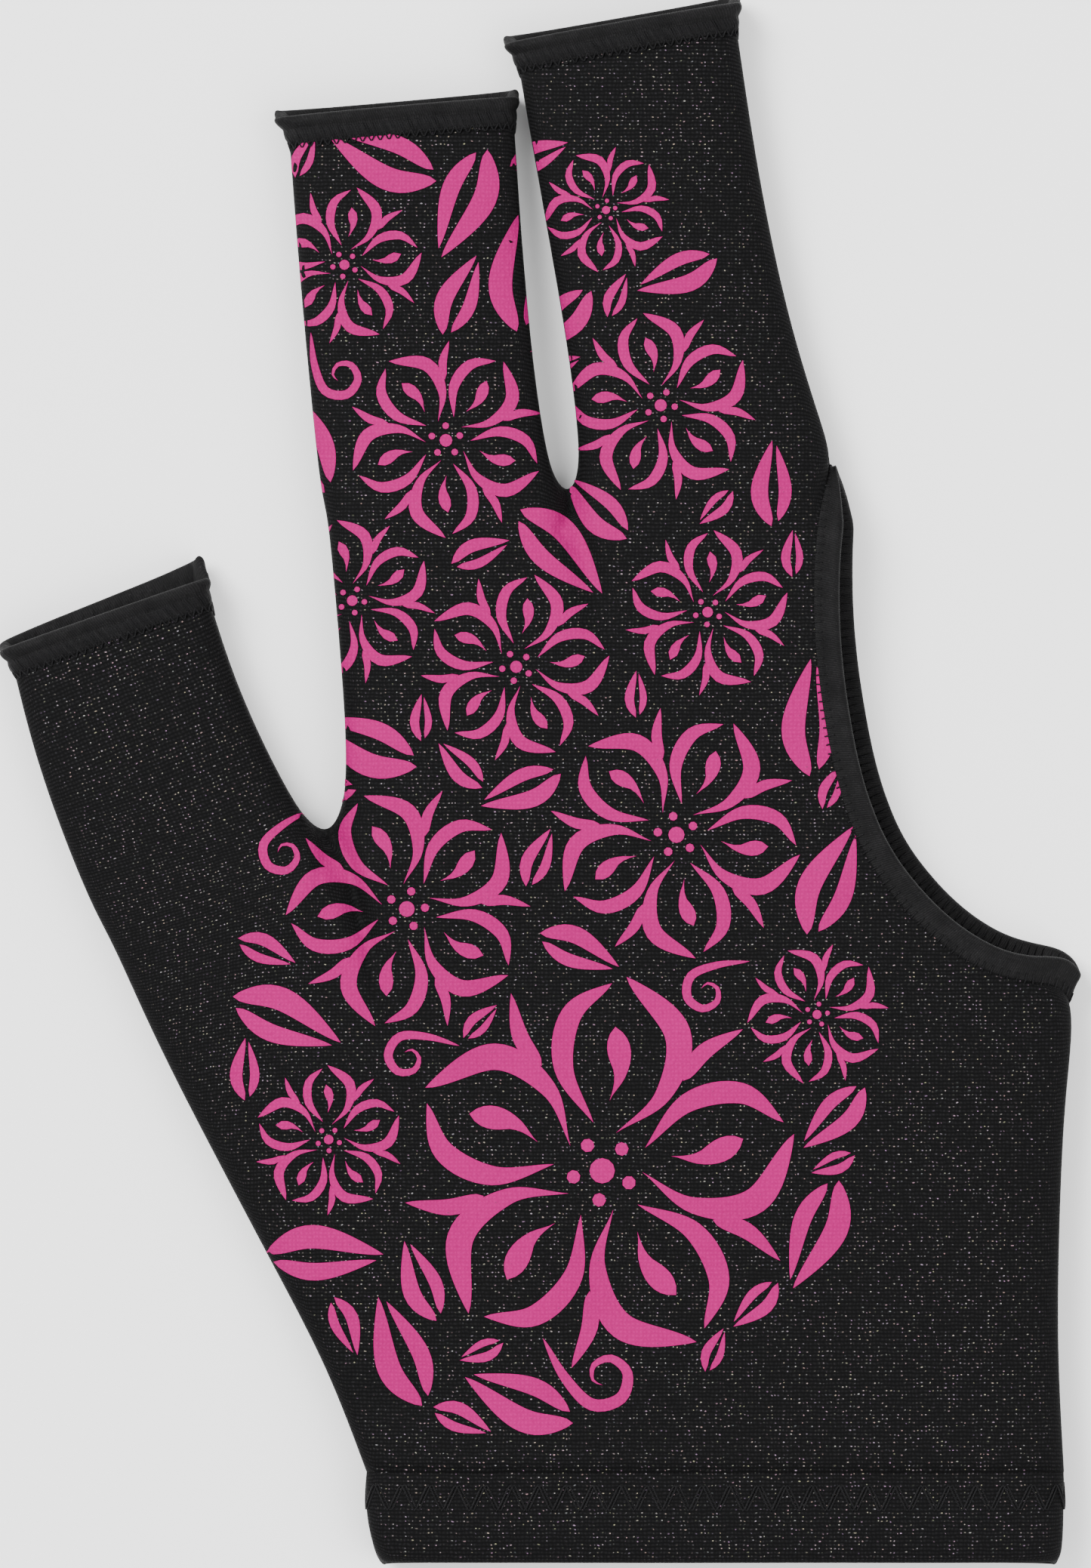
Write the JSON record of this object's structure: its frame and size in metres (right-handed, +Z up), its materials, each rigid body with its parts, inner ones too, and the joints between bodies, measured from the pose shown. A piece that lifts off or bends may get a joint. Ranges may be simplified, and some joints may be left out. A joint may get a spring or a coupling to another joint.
{
  "type": "billiard glove",
  "caption": "Knitted cue glove lying flat, with open sleeves for thumb, index and middle finger, a crescent cut-out for the other fingers and a folded cuff.",
  "frame": {"origin": "centre of the glove's footprint, on the surface it lies on", "axes": "+X towards the little-finger side, +Y from the cuff to the fingertips, +Z up off the surface"},
  "size_m": [0.1394, 0.202, 0.0092],
  "materials": {
    "back_knit": "near-black fine knit with faint glints",
    "palm_knit": "near-black fine knit, dull",
    "hem_knit": "smooth folded black knit",
    "print_ink": "satin pink screen print on knit",
    "thread": "black polyester sewing thread"
  },
  "bodies": {
    "root": {"back_panel": "back_knit", "palm_panel": "palm_knit", "cuff_hem": "hem_knit", "cutout_hem": "hem_knit", "thumb_hem": "hem_knit", "index_hem": "hem_knit", "middle_hem": "hem_knit"}
  },
  "joints": []
}
